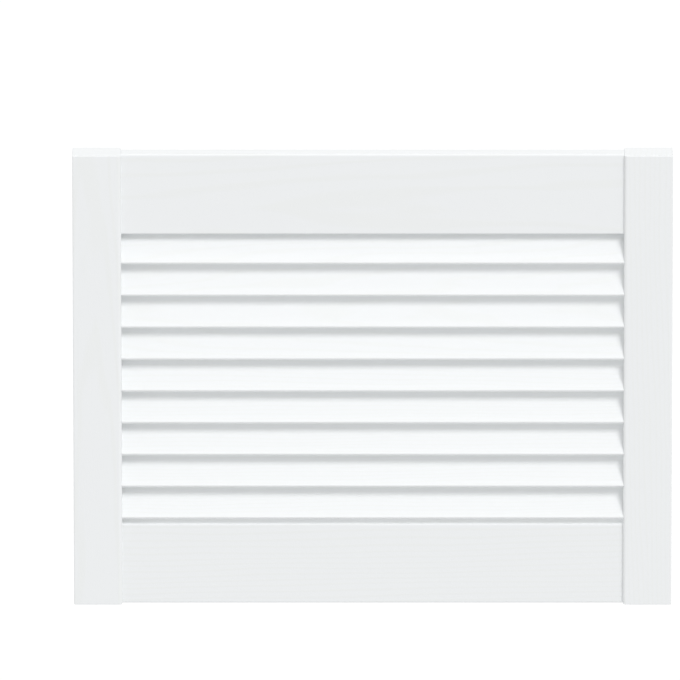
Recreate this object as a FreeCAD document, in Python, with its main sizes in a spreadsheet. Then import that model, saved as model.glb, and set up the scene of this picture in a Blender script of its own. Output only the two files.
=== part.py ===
import FreeCAD, Part
import math
import os
import Sketcher

# Louvred cabinet door leaf: two stiles, two rails and a ladder of fixed sloping slats.
# X runs across the door from the outer edge of the left stile, Y runs from the front
# to the back with zero at mid thickness, and Z runs up with zero at mid height.

doc = FreeCAD.newDocument("LouvredDoor")

# Driving sizes, in millimetres and degrees
SIZES = [
    ("door_width", 494, "across both stiles"),
    ("door_height", 395, "length of a stile"),
    ("stile_width", 40, "face width of a stile"),
    ("stile_thickness", 21, "front to back of a stile, the thickness of the door"),
    ("stile_inner_arris", 2.5, "rounding of a stile's long edges towards the slats"),
    ("stile_outer_arris", 1.2, "rounding of a stile's long edges on the outside of the door"),
    ("stile_end_bevel", 0.5, "bevel round the sawn ends of a stile"),
    ("top_rail_height", 70, "face height of the top rail"),
    ("bottom_rail_height", 70, "face height of the bottom rail"),
    ("rail_thickness", 13, "front to back of a rail, centred between the stile faces"),
    ("rail_arris", 1.5, "rounding of the long edges of a rail"),
    ("tenon_length", 20, "how far a rail's tenon enters a stile"),
    ("tenon_thickness", 7, "front to back of a tenon"),
    ("tenon_shoulder", 10, "rail height left above and below a tenon"),
    ("slat_count", 9, "number of slats"),
    ("slat_thickness", 5, "thickness of a slat"),
    ("slat_arris", 1, "rounding of the four long edges of a slat"),
    ("slat_angle", 56, "slope of a slat from the horizontal"),
    ("slat_setback", 1.3, "distance of a slat's edges behind the stile faces"),
    ("bottom_gap", 4.2, "free height between the bottom rail and the first slat"),
    ("top_gap", 2.2, "free height between the last slat and the top rail"),
    ("slat_housing", 10, "depth of a slat's housing in a stile"),
    ("side_clearance", 0.1, "room all round a tenon or slat in its stile"),
    ("end_clearance", 0.5, "room at the blind end of a mortise or housing"),
]

sheet = doc.addObject("Spreadsheet::Sheet", "Sizes")
for row, (alias, number, meaning) in enumerate(SIZES, start=1):
    sheet.set(f"A{row}", meaning)
    sheet.set(f"B{row}", str(number))
    sheet.setAlias(f"B{row}", alias)
doc.recompute()

# Lengths that follow from the driving sizes
RAIL_LENGTH = "(Sizes.door_width - 2 * Sizes.stile_width)"
OPENING_HEIGHT = "(Sizes.door_height - Sizes.top_rail_height - Sizes.bottom_rail_height)"
EDGE_FLAT = "(Sizes.slat_thickness - 2 * Sizes.slat_arris)"
EDGE_DEPTH = f"({EDGE_FLAT} * sin(Sizes.slat_angle * 1 deg))"
EDGE_RISE = f"({EDGE_FLAT} * cos(Sizes.slat_angle * 1 deg))"
SLAT_REACH = "(Sizes.stile_thickness / 2 - Sizes.slat_setback - Sizes.slat_arris)"
SLAT_RUN = f"(2 * {SLAT_REACH} - {EDGE_DEPTH})"
SLAT_RISE = f"({SLAT_RUN} * tan(Sizes.slat_angle * 1 deg))"
SLAT_HEIGHT = f"({SLAT_RISE} + {EDGE_RISE} + 2 * Sizes.slat_arris)"
SLAT_LENGTH = f"({RAIL_LENGTH} + 2 * (Sizes.slat_housing - Sizes.end_clearance))"
FIRST_SLAT = "(Sizes.bottom_rail_height + Sizes.bottom_gap)"
LADDER_SPAN = f"({OPENING_HEIGHT} - Sizes.bottom_gap - Sizes.top_gap - {SLAT_HEIGHT})"
SLAT_PITCH = f"({LADDER_SPAN} / (Sizes.slat_count - 1))"


def number_of(expression):
    """Present value of an expression on the sheet, for placing a sketch before it is solved."""
    return float(sheet.evalExpression(expression))


def origin_plane(body, role):
    """One of the three base planes of a body."""
    for feature in body.Origin.OriginFeatures:
        if feature.Role == role:
            return feature


def new_sketch(body, name, role, offset=None):
    """Sketch on a base plane of the body, moved along the plane's normal by an expression."""
    sketch = body.newObject("Sketcher::SketchObject", name)
    sketch.AttachmentSupport = [(origin_plane(body, role), "")]
    sketch.MapMode = "FlatFace"
    if offset:
        sketch.setExpression(".AttachmentOffset.Base.z", offset)
    return sketch


def dimension(sketch, name, kind, places, expression):
    """Named dimension in a sketch that follows an expression."""
    value = number_of(expression)
    index = sketch.addConstraint(Sketcher.Constraint(kind, *places, value))
    sketch.renameConstraint(index, name)
    sketch.setExpression(f".Constraints.{name}", expression)


def draw_rectangle(sketch, name, left, base, width, height, centred=False):
    """Rectangle from a left and a base offset, or centred across the vertical axis."""
    wide = number_of(width)
    low = number_of(base)
    high = low + number_of(height)
    start = -wide / 2 if centred else number_of(left)
    corners = [(start, low), (start + wide, low), (start + wide, high), (start, high)]
    points = [FreeCAD.Vector(x, y, 0) for x, y in corners]
    first = sketch.GeometryCount
    for side in range(4):
        sketch.addGeometry(Part.LineSegment(points[side], points[(side + 1) % 4]), False)
    bottom, right, top, wall = range(first, first + 4)
    for side in range(4):
        joined = (first + side, 2, first + (side + 1) % 4, 1)
        sketch.addConstraint(Sketcher.Constraint("Coincident", *joined))
    sketch.addConstraint(Sketcher.Constraint("Horizontal", top))
    for upright in (right, wall):
        sketch.addConstraint(Sketcher.Constraint("Vertical", upright))
    dimension(sketch, f"{name}_width", "DistanceX", (bottom, 1, bottom, 2), width)
    dimension(sketch, f"{name}_height", "DistanceY", (right, 1, right, 2), height)
    dimension(sketch, f"{name}_base", "DistanceY", (-1, 1, bottom, 1), base)
    if centred:
        sketch.addConstraint(Sketcher.Constraint("Symmetric", bottom, 1, bottom, 2, -2))
    else:
        sketch.addConstraint(Sketcher.Constraint("Horizontal", bottom))
        dimension(sketch, f"{name}_left", "DistanceX", (-1, 1, bottom, 1), left)


def draw_slat_section(sketch, radius, height):
    """Round-cornered strip on a slope, with its low front corner centred at the given height."""
    inset = f"({SLAT_RUN} - {SLAT_REACH})"
    corners = [
        ("front_low", -1, inset, height),
        ("back_low", 1, SLAT_REACH, f"{height} + {SLAT_RISE}"),
        ("back_high", 1, inset, f"{height} + {SLAT_RISE} + {EDGE_RISE}"),
        ("front_high", -1, SLAT_REACH, f"{height} + {EDGE_RISE}"),
    ]
    size = number_of(radius)
    centres = [
        FreeCAD.Vector(side * number_of(reach), number_of(level), 0)
        for _, side, reach, level in corners
    ]
    headings = []
    for corner in range(4):
        along = centres[(corner + 1) % 4] - centres[corner]
        headings.append(math.atan2(along.y, along.x))
        out = FreeCAD.Vector(along.y, -along.x, 0).normalize() * size
        straight = Part.LineSegment(centres[corner] + out, centres[(corner + 1) % 4] + out)
        sketch.addGeometry(straight, False)
    for corner in range(4):
        round_edge = Part.Circle(centres[corner], FreeCAD.Vector(0, 0, 1), size)
        first = headings[corner - 1] - math.pi / 2
        last = headings[corner] - math.pi / 2
        sketch.addGeometry(Part.ArcOfCircle(round_edge, first, last), False)
    # The four straights are edges 0 to 3 of the sketch, and the arcs at their starts are 4 to 7
    for corner, (name, side, reach, level) in enumerate(corners):
        arc = 4 + corner
        sketch.addConstraint(Sketcher.Constraint("Tangent", (corner - 1) % 4, 2, arc, 1))
        sketch.addConstraint(Sketcher.Constraint("Tangent", arc, 2, corner, 1))
        if corner:
            sketch.addConstraint(Sketcher.Constraint("Equal", 4, arc))
        across = (-1, 1, arc, 3) if side > 0 else (arc, 3, -1, 1)
        dimension(sketch, f"{name}_reach", "DistanceX", across, reach)
        dimension(sketch, f"{name}_height", "DistanceY", (-1, 1, arc, 3), level)
    dimension(sketch, "corner_radius", "Radius", (4,), radius)


def pad(body, name, sketch, length):
    """Solid made by pushing a sketch along its normal."""
    feature = body.newObject("PartDesign::Pad", name)
    feature.Profile = sketch
    feature.setExpression("Length", length)
    doc.recompute()
    return feature


def pocket(body, name, sketch, depth, forward):
    """Recess cut from a sketch, along its normal where forward is true."""
    before = body.Shape.Volume
    feature = body.newObject("PartDesign::Pocket", name)
    feature.Profile = sketch
    feature.Reversed = forward
    feature.setExpression("Length", depth)
    doc.recompute()
    if not body.Shape.Volume < before:
        raise RuntimeError(f"{name} cuts nothing from {body.Label}")
    return feature


# An edge nearer than this to a line or plane, in millimetres, counts as lying on it
TOUCHING = 1e-6


def long_edges(feature, direction, side=None):
    """Names of the straight edges along a direction, all of them or those at one x."""
    names = []
    for index, edge in enumerate(feature.Shape.Edges, start=1):
        ends = [vertex.Point for vertex in edge.Vertexes]
        along = len(ends) == 2 and (ends[1] - ends[0]).cross(direction).Length < TOUCHING
        if along and (side is None or abs(ends[0].x - side) < TOUCHING):
            names.append(f"Edge{index}")
    return names


def end_edges(feature):
    """Names of the edges that lie in the top and bottom faces."""
    box = feature.Shape.BoundBox
    names = []
    for index, edge in enumerate(feature.Shape.Edges, start=1):
        span = edge.BoundBox
        at_end = min(span.ZMin - box.ZMin, box.ZMax - span.ZMax) < TOUCHING
        if at_end and span.ZLength < TOUCHING:
            names.append(f"Edge{index}")
    return names


def round_edges(body, name, base, edges, radius):
    """Rounding along the named edges of a feature."""
    feature = body.newObject("PartDesign::Fillet", name)
    feature.Base = (base, edges)
    feature.setExpression("Radius", radius)
    doc.recompute()
    return feature


def bevel_edges(body, name, base, edges, size):
    """Bevel along the named edges of a feature."""
    feature = body.newObject("PartDesign::Chamfer", name)
    feature.Base = (base, edges)
    feature.setExpression("Size", size)
    doc.recompute()
    return feature


def place(body, x, z):
    """Position of a sub-part: x from the door's left edge, z from the door's bottom."""
    body.setExpression(".Placement.Base.x", x)
    body.setExpression(".Placement.Base.z", f"{z} - Sizes.door_height / 2")


# Stiles, with two mortises and a ladder of sloping housings in the inner face
def make_stile(label, inner_face, outer_face, forward, position):
    body = doc.addObject("PartDesign::Body", label)
    body.Label = label

    section = new_sketch(body, f"{label}_section", "XZ_Plane")
    draw_rectangle(section, "board", "0", "0", "Sizes.stile_width", "Sizes.door_height")
    board = pad(body, f"{label}_board", section, "Sizes.stile_thickness")
    board.Midplane = True
    doc.recompute()
    upright = FreeCAD.Vector(0, 0, 1)
    inner = long_edges(board, upright, number_of(inner_face))
    eased = round_edges(body, f"{label}_inner_arris", board, inner, "Sizes.stile_inner_arris")
    outer = long_edges(eased, upright, number_of(outer_face))
    rounded = round_edges(body, f"{label}_outer_arris", eased, outer, "Sizes.stile_outer_arris")
    bevel_edges(body, f"{label}_ends", rounded, end_edges(rounded), "Sizes.stile_end_bevel")

    mortises = new_sketch(body, f"{label}_mortise_plan", "YZ_Plane", inner_face)
    wide = "(Sizes.tenon_thickness + 2 * Sizes.side_clearance)"
    shoulder = "(Sizes.tenon_shoulder - Sizes.side_clearance)"
    bottom_tall = f"(Sizes.bottom_rail_height - 2 * {shoulder})"
    top_tall = f"(Sizes.top_rail_height - 2 * {shoulder})"
    top_base = f"(Sizes.door_height - Sizes.top_rail_height + {shoulder})"
    draw_rectangle(mortises, "bottom_mortise", "0", shoulder, wide, bottom_tall, centred=True)
    draw_rectangle(mortises, "top_mortise", "0", top_base, wide, top_tall, centred=True)
    mortise_depth = "Sizes.tenon_length + Sizes.end_clearance"
    pocket(body, f"{label}_mortises", mortises, mortise_depth, forward)

    housing = new_sketch(body, f"{label}_housing_plan", "YZ_Plane", inner_face)
    radius = "(Sizes.slat_arris + Sizes.side_clearance)"
    draw_slat_section(housing, radius, f"({FIRST_SLAT} + Sizes.slat_arris)")
    cut = pocket(body, f"{label}_housing", housing, "Sizes.slat_housing", forward)

    ladder = body.newObject("PartDesign::LinearPattern", f"{label}_housings")
    ladder.Originals = [cut]
    ladder.Direction = (housing, ["V_Axis"])
    ladder.setExpression("Length", LADDER_SPAN)
    ladder.setExpression("Occurrences", "Sizes.slat_count")
    body.Tip = ladder
    place(body, position, "0")
    doc.recompute()
    return body


# Rails, each a board with a tenon at both ends
def make_rail(label, rail_height, position):
    body = doc.addObject("PartDesign::Body", label)
    body.Label = label

    section = new_sketch(body, f"{label}_section", "YZ_Plane")
    draw_rectangle(section, "board", "0", "0", "Sizes.rail_thickness", rail_height, centred=True)
    board = pad(body, f"{label}_board", section, RAIL_LENGTH)
    across = FreeCAD.Vector(1, 0, 0)
    round_edges(body, f"{label}_arris", board, long_edges(board, across), "Sizes.rail_arris")

    tenons = new_sketch(body, f"{label}_tenon_section", "YZ_Plane", "-Sizes.tenon_length")
    tall = f"({rail_height} - 2 * Sizes.tenon_shoulder)"
    draw_rectangle(
        tenons, "tenon", "0", "Sizes.tenon_shoulder", "Sizes.tenon_thickness", tall, centred=True
    )
    pad(body, f"{label}_tenons", tenons, f"{RAIL_LENGTH} + 2 * Sizes.tenon_length")
    place(body, "Sizes.stile_width", position)
    doc.recompute()
    return body


# Slats, with rounded long edges, whose ends sit in the housings of the stiles
def make_slat(label, number):
    body = doc.addObject("PartDesign::Body", label)
    body.Label = label
    section = new_sketch(body, f"{label}_section", "YZ_Plane")
    draw_slat_section(section, "Sizes.slat_arris", "Sizes.slat_arris")
    pad(body, f"{label}_strip", section, SLAT_LENGTH)
    inset = "Sizes.stile_width - Sizes.slat_housing + Sizes.end_clearance"
    place(body, inset, f"{FIRST_SLAT} + {number} * {SLAT_PITCH}")
    doc.recompute()
    return body


parts = [
    make_stile("left_stile", "Sizes.stile_width", "0", False, "0"),
    make_stile("right_stile", "0", "Sizes.stile_width", True, "Sizes.door_width - Sizes.stile_width"),
    make_rail("bottom_rail", "Sizes.bottom_rail_height", "0"),
    make_rail("top_rail", "Sizes.top_rail_height", "Sizes.door_height - Sizes.top_rail_height"),
]
for number in range(int(number_of("Sizes.slat_count"))):
    parts.append(make_slat(f"slat_{number + 1}", number))
doc.recompute()

# Every feature has to be sound before anything is written
for item in doc.Objects:
    if "Invalid" in item.State or "Error" in item.State:
        raise RuntimeError(f"{item.Label} failed: {item.State}")
for body in parts:
    if body.Shape.isNull() or not body.Shape.isValid() or len(body.Shape.Solids) != 1:
        raise RuntimeError(f"{body.Label} is not one sound solid")

os.makedirs("parts", exist_ok=True)
for body in parts:
    body.Shape.exportStep(f"parts/{body.Label}.step")
    print(body.Label, round(body.Shape.Volume, 1), body.Shape.BoundBox)
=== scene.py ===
import bpy
import math
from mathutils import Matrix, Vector


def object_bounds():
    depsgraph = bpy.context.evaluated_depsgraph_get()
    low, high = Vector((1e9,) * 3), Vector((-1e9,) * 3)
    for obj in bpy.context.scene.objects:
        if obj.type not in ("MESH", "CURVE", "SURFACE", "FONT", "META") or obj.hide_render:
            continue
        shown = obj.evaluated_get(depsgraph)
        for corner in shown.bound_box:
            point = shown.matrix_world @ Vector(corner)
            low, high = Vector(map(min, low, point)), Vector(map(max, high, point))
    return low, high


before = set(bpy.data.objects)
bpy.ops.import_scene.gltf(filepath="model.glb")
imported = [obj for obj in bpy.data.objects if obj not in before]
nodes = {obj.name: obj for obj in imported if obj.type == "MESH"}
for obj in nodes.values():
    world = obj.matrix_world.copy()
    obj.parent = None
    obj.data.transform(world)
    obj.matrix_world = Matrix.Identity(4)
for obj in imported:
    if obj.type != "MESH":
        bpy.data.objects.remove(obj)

cad_low, cad_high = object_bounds()


# Stiles: the two upright boards of the frame, planed pine with every long edge rounded,
# mortised for the rails and housed for the slats, then sprayed with white satin paint.
def linear(hex_colour):
    """Linear colour of an sRGB hex value, as a shader socket takes it."""
    channels = [int(hex_colour[place:place + 2], 16) / 255 for place in (1, 3, 5)]
    curved = [c / 12.92 if c <= 0.04045 else ((c + 0.055) / 1.055) ** 2.4 for c in channels]
    return (*curved, 1.0)


def add(tree, kind, settings=None, sockets=None):
    """Adds a node, with settings by name, and with a number, colour or link for each socket."""
    node = tree.nodes.new(kind)
    for name, value in (settings or {}).items():
        setattr(node, name, value)
    for name, value in (sockets or {}).items():
        if isinstance(value, bpy.types.NodeSocket):
            tree.links.new(value, node.inputs[name])
        else:
            node.inputs[name].default_value = value
    return node


def satin_white_on_pine(name, along, ring_mm, heart_mm):
    """Sprayed white satin paint over planed pine: an even, faintly cool white in which the
    growth rings of the board just show as low ridges, under a fine spray stipple."""
    paint = bpy.data.materials.new(name)
    paint.use_nodes = True
    tree = paint.node_tree
    shader = tree.nodes["Principled BSDF"]
    place = add(tree, "ShaderNodeTexCoord")
    # Grain is drawn out eight times along the board
    stretch = [1.0, 1.0, 1.0]
    stretch["XYZ".index(along)] = 1 / 8
    grain = add(tree, "ShaderNodeMapping", sockets={
        "Vector": place.outputs["Object"], "Scale": stretch})
    # Growth rings are cylinders round the heart of the tree, which the board's face cuts at a
    # slant, so that they run out in long pointed arches
    slant = math.radians(9)
    log = add(tree, "ShaderNodeMapping", sockets={
        "Vector": grain.outputs["Vector"], "Rotation": (slant, slant, slant),
        "Location": [-mm / 1000 for mm in heart_mm]})
    # A wave texture of scale 1 has a ring every 2 pi / 20 metres. Its distortion makes some
    # years wider than others and lets the rings wander
    rings = add(tree, "ShaderNodeTexWave", {"wave_type": "RINGS", "rings_direction": along}, {
        "Vector": log.outputs["Vector"], "Scale": 2 * math.pi / 20 * 1000 / ring_mm,
        "Distortion": 8.0, "Detail": 2.0, "Detail Scale": 0.5})
    late_wood = add(tree, "ShaderNodeMapRange", {"interpolation_type": "SMOOTHSTEP"}, {
        "Value": rings.outputs["Fac"], "From Min": 0.55, "From Max": 1.0})
    # Fibre: short streaks along the board, finer than this in real pine and drawn 0.9 mm wide
    # so that they show
    fibre_mm = 0.9
    fibre = add(tree, "ShaderNodeTexNoise", sockets={
        "Vector": grain.outputs["Vector"], "Scale": 1000 / fibre_mm, "Detail": 2.0})
    # Spray stipple: soft bumps about 1.2 mm apart, as a spray gun leaves them
    stipple_mm = 1.2
    stipple = add(tree, "ShaderNodeTexNoise", sockets={
        "Vector": place.outputs["Object"], "Scale": 1000 / stipple_mm, "Detail": 1.0})
    # Relief in metres, of which the paint leaves the share in Strength as it flows out
    ridge = add(tree, "ShaderNodeBump", sockets={
        "Height": late_wood.outputs["Result"], "Strength": 0.12, "Distance": 0.0002})
    streak = add(tree, "ShaderNodeBump", sockets={
        "Height": fibre.outputs["Fac"], "Strength": 0.3, "Distance": 0.0001,
        "Normal": ridge.outputs["Normal"]})
    skin = add(tree, "ShaderNodeBump", sockets={
        "Height": stipple.outputs["Fac"], "Strength": 0.4, "Distance": 0.0001,
        "Normal": streak.outputs["Normal"]})
    # Paint lies a trace thinner over the hard late wood, which shows as a barely warmer white.
    # Sockets 6 and 7 of a colour mix are its two colours, and its output 2 is the mixture.
    cover = add(tree, "ShaderNodeMix", {"data_type": "RGBA"}, {
        "Factor": late_wood.outputs["Result"], 6: linear("#F0F2F3"), 7: linear("#EFF1F1")})
    # Satin gloss, a little uneven with the stipple
    gloss = add(tree, "ShaderNodeMapRange", sockets={
        "Value": stipple.outputs["Fac"], "From Min": 0.3, "From Max": 0.7,
        "To Min": 0.40, "To Max": 0.48})
    tree.links.new(cover.outputs[2], shader.inputs["Base Color"])
    tree.links.new(gloss.outputs["Result"], shader.inputs["Roughness"])
    tree.links.new(skin.outputs["Normal"], shader.inputs["Normal"])
    shader.inputs["IOR"].default_value = 1.48
    return paint


stile_paint = satin_white_on_pine("satin_white_on_pine_stile", "Z", 4.0, (12, 30, 0))
for name in ("left_stile", "right_stile"):
    nodes[name].material_slots[0].material = stile_paint


# Rails: the top and bottom boards, thinner than the stiles and set back from their faces,
# of the same painted pine with the grain running across the door, tenoned into the stiles.
rail_paint = satin_white_on_pine("satin_white_on_pine_rail", "X", 5.0, (0, 45, 150))
for name in ("bottom_rail", "top_rail"):
    nodes[name].material_slots[0].material = rail_paint


# Slats: thin moulded strips of pine with rounded edges, sloping down to the front, whose ends
# are glued into the housings of the stiles and painted with the rest of the door.
slat_paint = satin_white_on_pine("satin_white_on_pine_slat", "X", 3.0, (0, 60, 20))
for name in nodes:
    if name.startswith("slat_"):
        nodes[name].material_slots[0].material = slat_paint


# Studio light: a white room all round, a soft light high on the right in front of the door,
# a weak one overhead, and a weak low one behind on the left that shapes the back.
# A level of 1 renders a facing colour as it is written.
room_level = 0.69
white = linear("#FFFFFF")
world = bpy.data.worlds.new("white_room")
bpy.context.scene.world = world
world.use_nodes = True
tree = world.node_tree
room = tree.nodes["Background"]
room.inputs["Color"].default_value = white


def shown_white(tree):
    """Socket that is 1 on the rays that show a surface as it looks, and 0 on those that
    light other surfaces."""
    path = add(tree, "ShaderNodeLightPath")
    seen = add(tree, "ShaderNodeMath", {"operation": "MAXIMUM"}, {
        0: path.outputs["Is Camera Ray"], 1: path.outputs["Is Transmission Ray"]})
    shown = add(tree, "ShaderNodeMath", {"operation": "MAXIMUM"}, {
        0: seen.outputs[0], 1: path.outputs["Is Glossy Ray"]})
    return shown.outputs[0]


# White shows at a little over 1, so that a render's noise doesn't grey it
shown_level = 1.04
strength = add(tree, "ShaderNodeMapRange", sockets={
    "Value": shown_white(tree), "To Min": room_level, "To Max": shown_level})
tree.links.new(strength.outputs["Result"], room.inputs["Strength"])


def soft_light(name, azimuth, elevation, level):
    """Distant soft light, its azimuth in degrees from the front to the right; returns the
    level that it gives the floor."""
    spread = math.radians(20)
    lamp_distance = 3.0
    turn = math.radians(azimuth)
    lift = math.radians(elevation)
    toward = Vector((
        math.sin(turn) * math.cos(lift), -math.cos(turn) * math.cos(lift), math.sin(lift)))
    bpy.ops.object.light_add(type="SUN", location=toward * lamp_distance)
    lamp = bpy.context.active_object
    lamp.name = name
    lamp.data.angle = spread
    lamp.data.energy = math.pi * level
    lamp.rotation_euler = toward.to_track_quat("Z", "Y").to_euler()
    return level * math.sin(lift)


floor_level = room_level
floor_level += soft_light("key_soft_light", azimuth=26, elevation=44, level=0.372)
floor_level += soft_light("top_soft_light", azimuth=0, elevation=90, level=0.08)
floor_level += soft_light("back_soft_light", azimuth=240, elevation=8, level=0.13)


# Floor: a plain pale studio floor 0.6 m below the hanging door, so wide that only low views
# show the room beyond it. Its lit grey is lifted to white where it shows, so that only the
# door's shadow stands out.
floor_drop = 0.6
floor_size = 120.0
middle = (cad_low + cad_high) / 2
bpy.ops.object.select_all(action="DESELECT")
bpy.ops.mesh.primitive_plane_add(
    size=floor_size, location=(middle.x, middle.y, cad_low.z - floor_drop))
floor = bpy.context.active_object
floor.name = "studio_floor"
bpy.ops.object.transform_apply(location=True, rotation=True, scale=True)
matt_pale = bpy.data.materials.new("matt_pale_floor")
matt_pale.use_nodes = True
tree = matt_pale.node_tree
shader = tree.nodes["Principled BSDF"]
pale = linear("#DADADA")
shader.inputs["Base Color"].default_value = pale
shader.inputs["Roughness"].default_value = 0.9
shader.inputs["Specular IOR Level"].default_value = 0.0
shader.inputs["Emission Color"].default_value = white
lift = add(tree, "ShaderNodeMath", {"operation": "MULTIPLY"}, {
    0: shown_white(tree), 1: shown_level - pale[0] * floor_level})
tree.links.new(lift.outputs[0], shader.inputs["Emission Strength"])
floor.data.materials.append(matt_pale)


# Camera: a long lens straight in front of the door and above it, which keeps upright and
# level edges true, at an angle from which no background shows between the slats.
distance = 20.0
elevation = math.radians(20.5)
frame_width = 0.561
sensor = 36.0
camera_data = bpy.data.cameras.new("camera")
camera = bpy.data.objects.new("camera", camera_data)
bpy.context.scene.collection.objects.link(camera)
back = Vector((0.0, -math.cos(elevation), math.sin(elevation)))
camera.location = middle + back * distance
camera.rotation_euler = back.to_track_quat("Z", "Y").to_euler()
camera_data.sensor_width = sensor
camera_data.lens = sensor * distance / frame_width
# The door lies a little to the right of the picture's middle and below it
camera_data.shift_x = -0.048
camera_data.shift_y = 0.054
camera_data.clip_end = 10 * distance
bpy.context.scene.camera = camera
bpy.context.scene.view_settings.view_transform = "Standard"
